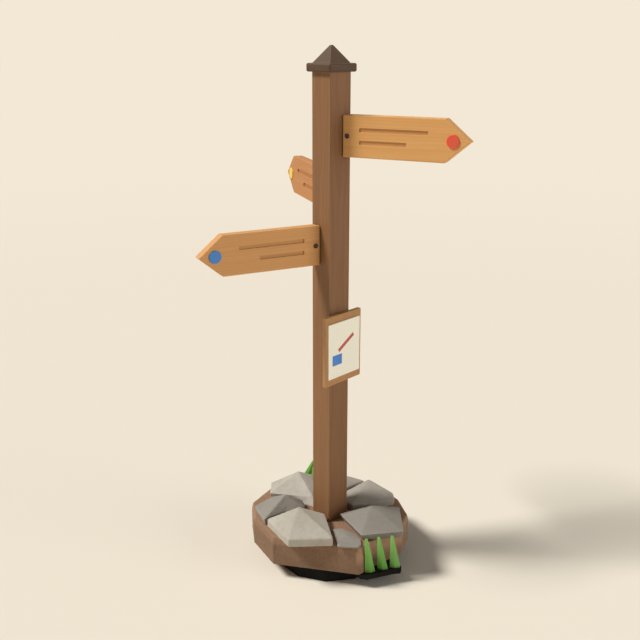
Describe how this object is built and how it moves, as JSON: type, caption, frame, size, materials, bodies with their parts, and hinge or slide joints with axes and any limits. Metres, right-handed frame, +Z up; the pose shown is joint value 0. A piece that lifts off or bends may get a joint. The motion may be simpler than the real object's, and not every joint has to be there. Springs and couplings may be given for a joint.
{
  "type": "wooden signpost",
  "caption": "Free-standing timber signpost: pointed arms on concealed swivels around a square post with a pyramid cap, a small map panel and a heavy round base set with stones and grass.",
  "frame": {"origin": "on the post's axis, at the ground under the foot", "axes": "+Z up the post; -Y out of the face that carries the red arm and the map panel, -X out of the blue arm's face, +Y out of the yellow arm's face"},
  "size_m": [1.077, 1.2463, 2.567],
  "materials": {
    "post_timber": "stained softwood, satin, fine upright grain",
    "cap_timber": "dark stained hardwood, satin",
    "arm_timber": "honey coloured oiled timber, grain along the arm",
    "panel_timber": "oiled timber, satin",
    "map_sheet": "pale printed laminate, matt",
    "map_red": "matt red inlay",
    "map_blue": "matt blue inlay",
    "red_paint": "satin enamel",
    "yellow_paint": "satin enamel",
    "blue_paint": "satin enamel",
    "dark_bolt": "blackened steel, waxed",
    "zinc_steel": "zinc plated steel",
    "earth_block": "cast concrete, coloured and textured as packed earth",
    "foot_rubber": "matt black",
    "rock": "pale split stone, matt",
    "grass": "green, darker at the root"
  },
  "bodies": {
    "signpost": {"post": "post_timber", "cap_brim": "cap_timber", "cap_pyramid": "cap_timber", "cap_dowel": "post_timber", "cap_screws": "zinc_steel", "panel_packer": "panel_timber", "panel_board": "panel_timber", "panel_screws": "zinc_steel", "map_sheet": "map_sheet", "map_route_bar": "map_red", "map_square": "map_blue", "base_body": "earth_block", "base_foot": "foot_rubber", "post_shoe": "zinc_steel", "shoe_bolts": "zinc_steel", "cross_bolts": "zinc_steel", "cross_nuts": "zinc_steel", "front_left_rock": "rock", "left_rock": "rock", "back_left_rock": "rock", "back_rock": "rock", "right_rock": "rock", "front_right_rock": "rock", "small_rock": "rock", "front_grass": "grass", "back_grass": "grass", "red_arm_socket": "zinc_steel", "red_arm_pin": "zinc_steel", "red_arm_screws": "zinc_steel", "yellow_arm_socket": "zinc_steel", "yellow_arm_pin": "zinc_steel", "yellow_arm_screws": "zinc_steel", "blue_arm_socket": "zinc_steel", "blue_arm_pin": "zinc_steel", "blue_arm_screws": "zinc_steel"},
    "red_arm": {"red_arm_board": "arm_timber", "red_arm_disc": "red_paint", "red_arm_blade": "zinc_steel", "red_arm_bolt": "dark_bolt"},
    "yellow_arm": {"yellow_arm_board": "arm_timber", "yellow_arm_disc": "yellow_paint", "yellow_arm_blade": "zinc_steel", "yellow_arm_bolt": "dark_bolt"},
    "blue_arm": {"blue_arm_board": "arm_timber", "blue_arm_disc": "blue_paint", "blue_arm_blade": "zinc_steel", "blue_arm_bolt": "dark_bolt"}
  },
  "joints": [
    {"name": "red_arm_swivel", "type": "hinge", "parent": "signpost", "child": "red_arm", "pos_m": [0.0297, -0.0505, 2.172], "axis": [0, 0, 1], "range_deg": [-5, 5]},
    {"name": "yellow_arm_swivel", "type": "hinge", "parent": "signpost", "child": "yellow_arm", "pos_m": [0.02421, 0.0505, 1.918], "axis": [0, 0, 1], "range_deg": [-5, 5]},
    {"name": "blue_arm_swivel", "type": "hinge", "parent": "signpost", "child": "blue_arm", "pos_m": [-0.0505, 0.02256, 1.664], "axis": [0, 0, 1], "range_deg": [-5, 5]}
  ]
}
